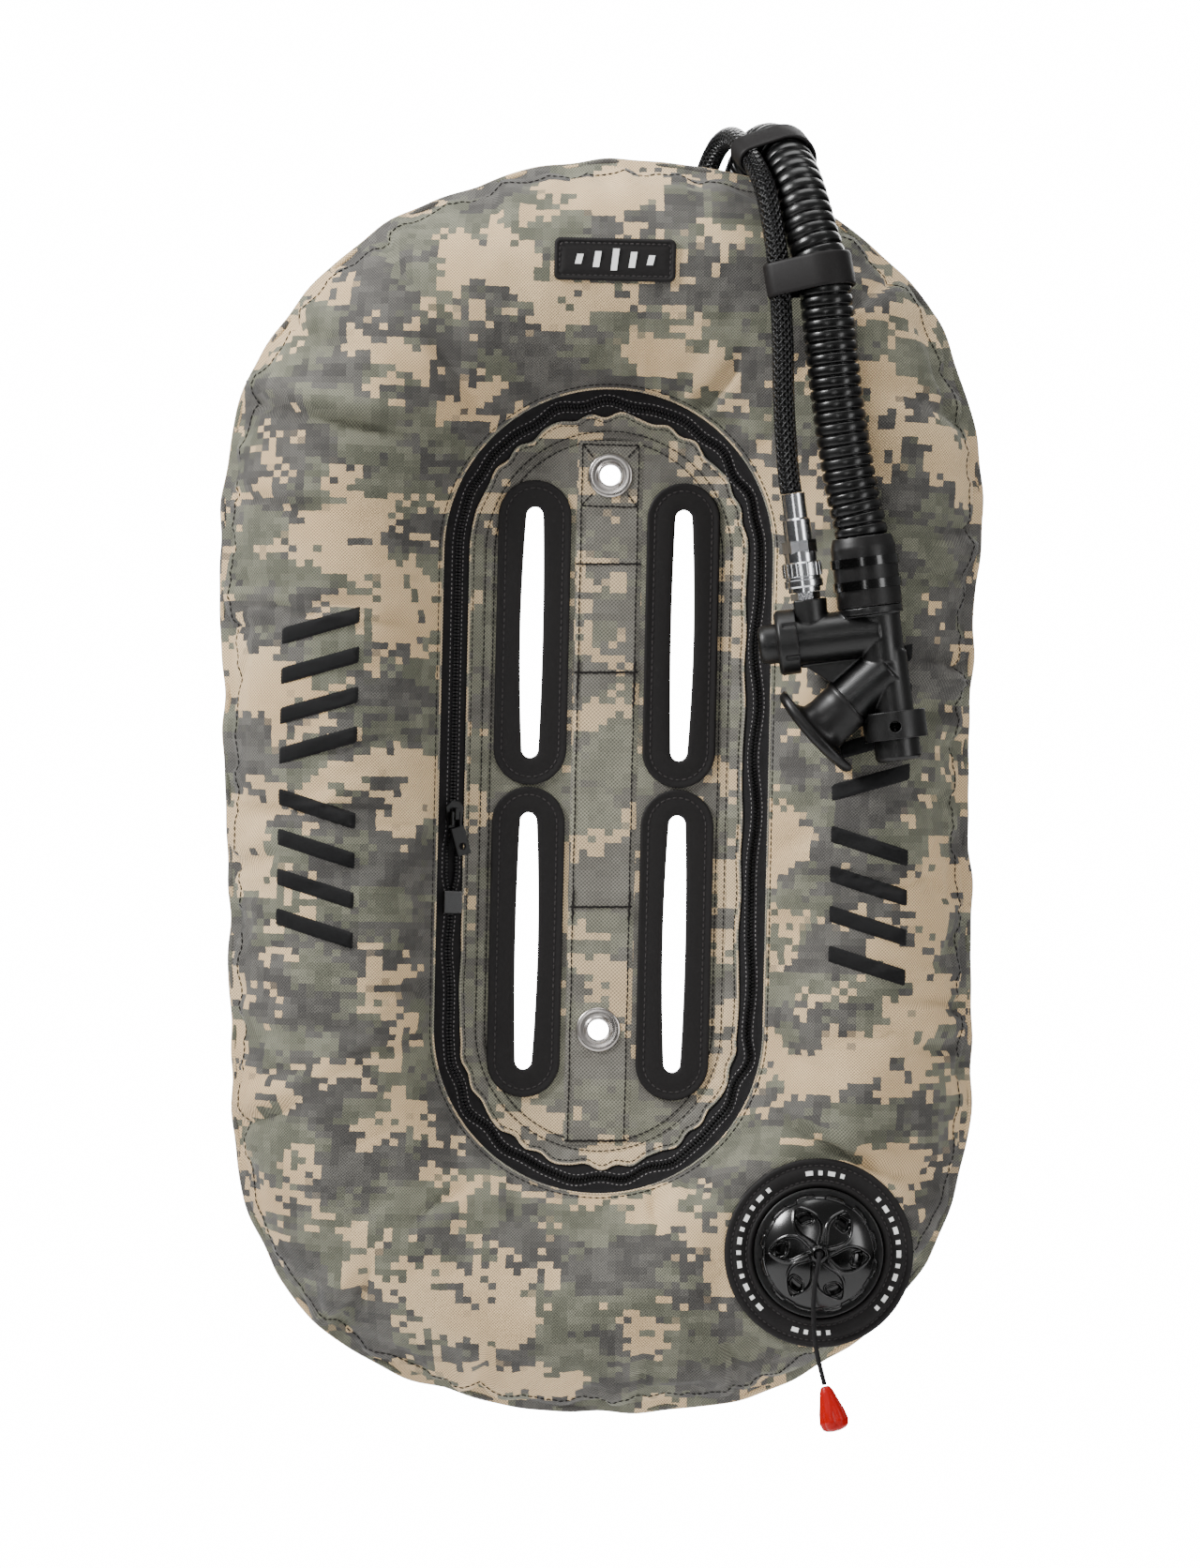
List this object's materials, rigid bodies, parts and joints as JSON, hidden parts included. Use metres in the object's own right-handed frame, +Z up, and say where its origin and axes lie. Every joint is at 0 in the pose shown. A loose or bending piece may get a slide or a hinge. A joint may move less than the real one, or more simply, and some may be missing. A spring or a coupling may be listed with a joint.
{
  "type": "buoyancy compensator vest",
  "caption": "Ring-shaped buoyancy wing with a zipped fabric shell, slotted centre panel, bolt grommets, dump valve with pull cord, and a power inflator on a corrugated hose.",
  "frame": {"origin": "midway between the two bolt grommets, in the centre panel's middle plane", "axes": "+Z up when worn (the wing's long axis), +X towards the wearer's left, -Y towards the wearer's back (the zipped side), +Y towards the cylinder"},
  "size_m": [0.38, 0.1526, 0.6568],
  "materials": {
    "shell_fabric": "matt woven nylon with a printed digital camouflage",
    "bladder_fabric": "coated nylon",
    "black_rubber": "satin",
    "hose_rubber": "satin ribbed",
    "braided_hose": "braided",
    "black_textile": "matt",
    "bright_metal": "polished",
    "spring_steel": "bright",
    "black_plastic": "fine texture",
    "gloss_plastic": "gloss",
    "red_plastic": "gloss"
  },
  "bodies": {
    "wing": {"bladder": "bladder_fabric", "shell_front": "shell_fabric", "shell_back": "shell_fabric", "perimeter_seam": "shell_fabric", "centre_panel": "shell_fabric", "centre_webbing": "shell_fabric", "slot_frame_upper_left": "black_rubber", "slot_frame_upper_right": "black_rubber", "slot_frame_lower_left": "black_rubber", "slot_frame_lower_right": "black_rubber", "slot_frames_back": "black_rubber", "grommet_top": "bright_metal", "grommet_top_washer": "bright_metal", "grommet_bottom": "bright_metal", "grommet_bottom_washer": "bright_metal", "zip_facing": "shell_fabric", "zip_tape_outer": "black_textile", "zip_tape_inner": "black_textile", "zip_teeth_outer": "gloss_plastic", "zip_teeth_inner": "gloss_plastic", "zip_box": "gloss_plastic", "top_patch": "black_rubber", "embroidery_left": "black_textile", "embroidery_right": "black_textile", "valve_patch_ring": "black_rubber", "valve_base": "black_plastic", "valve_gasket": "black_rubber", "valve_spring": "spring_steel", "valve_cap": "black_plastic", "inflator_body": "black_plastic", "inflate_cap_ring": "black_plastic", "inflate_spring": "spring_steel", "feed_nipple": "bright_metal", "feed_coupling": "bright_metal", "feed_hose": "braided_hose", "feed_end_fitting": "bright_metal", "feed_end_oring": "black_rubber", "mouthpiece": "black_rubber", "oral_collar": "black_plastic", "oral_spring": "spring_steel", "corrugated_hose": "hose_rubber", "hose_cuff_lower": "black_rubber", "cable_ties_lower": "gloss_plastic", "elbow": "black_plastic", "elbow_nut": "black_plastic", "elbow_gasket": "black_rubber", "hose_cuff_upper": "black_rubber", "cable_ties_upper": "gloss_plastic", "hose_band_upper": "black_rubber", "hose_band_lower": "black_rubber"},
    "inflate_button": {"inflate_button": "black_plastic"},
    "oral_button": {"oral_button": "black_plastic", "oral_seal": "black_rubber"},
    "feed_sleeve": {"feed_sleeve": "bright_metal"},
    "zip_slider": {"zip_slider": "gloss_plastic"},
    "zip_pull": {"zip_pull": "gloss_plastic"},
    "dump_valve": {"valve_disc": "black_plastic", "pull_cord": "black_textile", "pull_knob": "red_plastic"}
  },
  "joints": [
    {"name": "inflate_press", "type": "slide", "parent": "wing", "child": "inflate_button", "axis": [0.9898, 0, 0.1426], "range_m": [0, 0.0035], "stiffness_N_per_m": 1500, "deforming": ["inflate_spring"]},
    {"name": "oral_press", "type": "slide", "parent": "wing", "child": "oral_button", "axis": [-0.1426, 0, 0.9898], "range_m": [0, 0.004], "stiffness_N_per_m": 1500, "deforming": ["oral_spring"]},
    {"name": "feed_release", "type": "slide", "parent": "wing", "child": "feed_sleeve", "axis": [-0.1426, 0, 0.9898], "range_m": [0, 0.004], "stiffness_N_per_m": 1200},
    {"name": "zip_run", "type": "slide", "parent": "wing", "child": "zip_slider", "axis": [0, 0, 1], "range_m": [-0.029, 0.125]},
    {"name": "pull_flip", "type": "hinge", "parent": "zip_slider", "child": "zip_pull", "pos_m": [-0.07368, -0.0134, -0.033], "axis": [-0.9272, -0.3746, 0], "range_deg": [0, 160]},
    {"name": "dump_lift", "type": "slide", "parent": "wing", "child": "dump_valve", "axis": [0, -1, 0], "range_m": [0, 0.005], "stiffness_N_per_m": 900, "deforming": ["valve_spring"]}
  ]
}
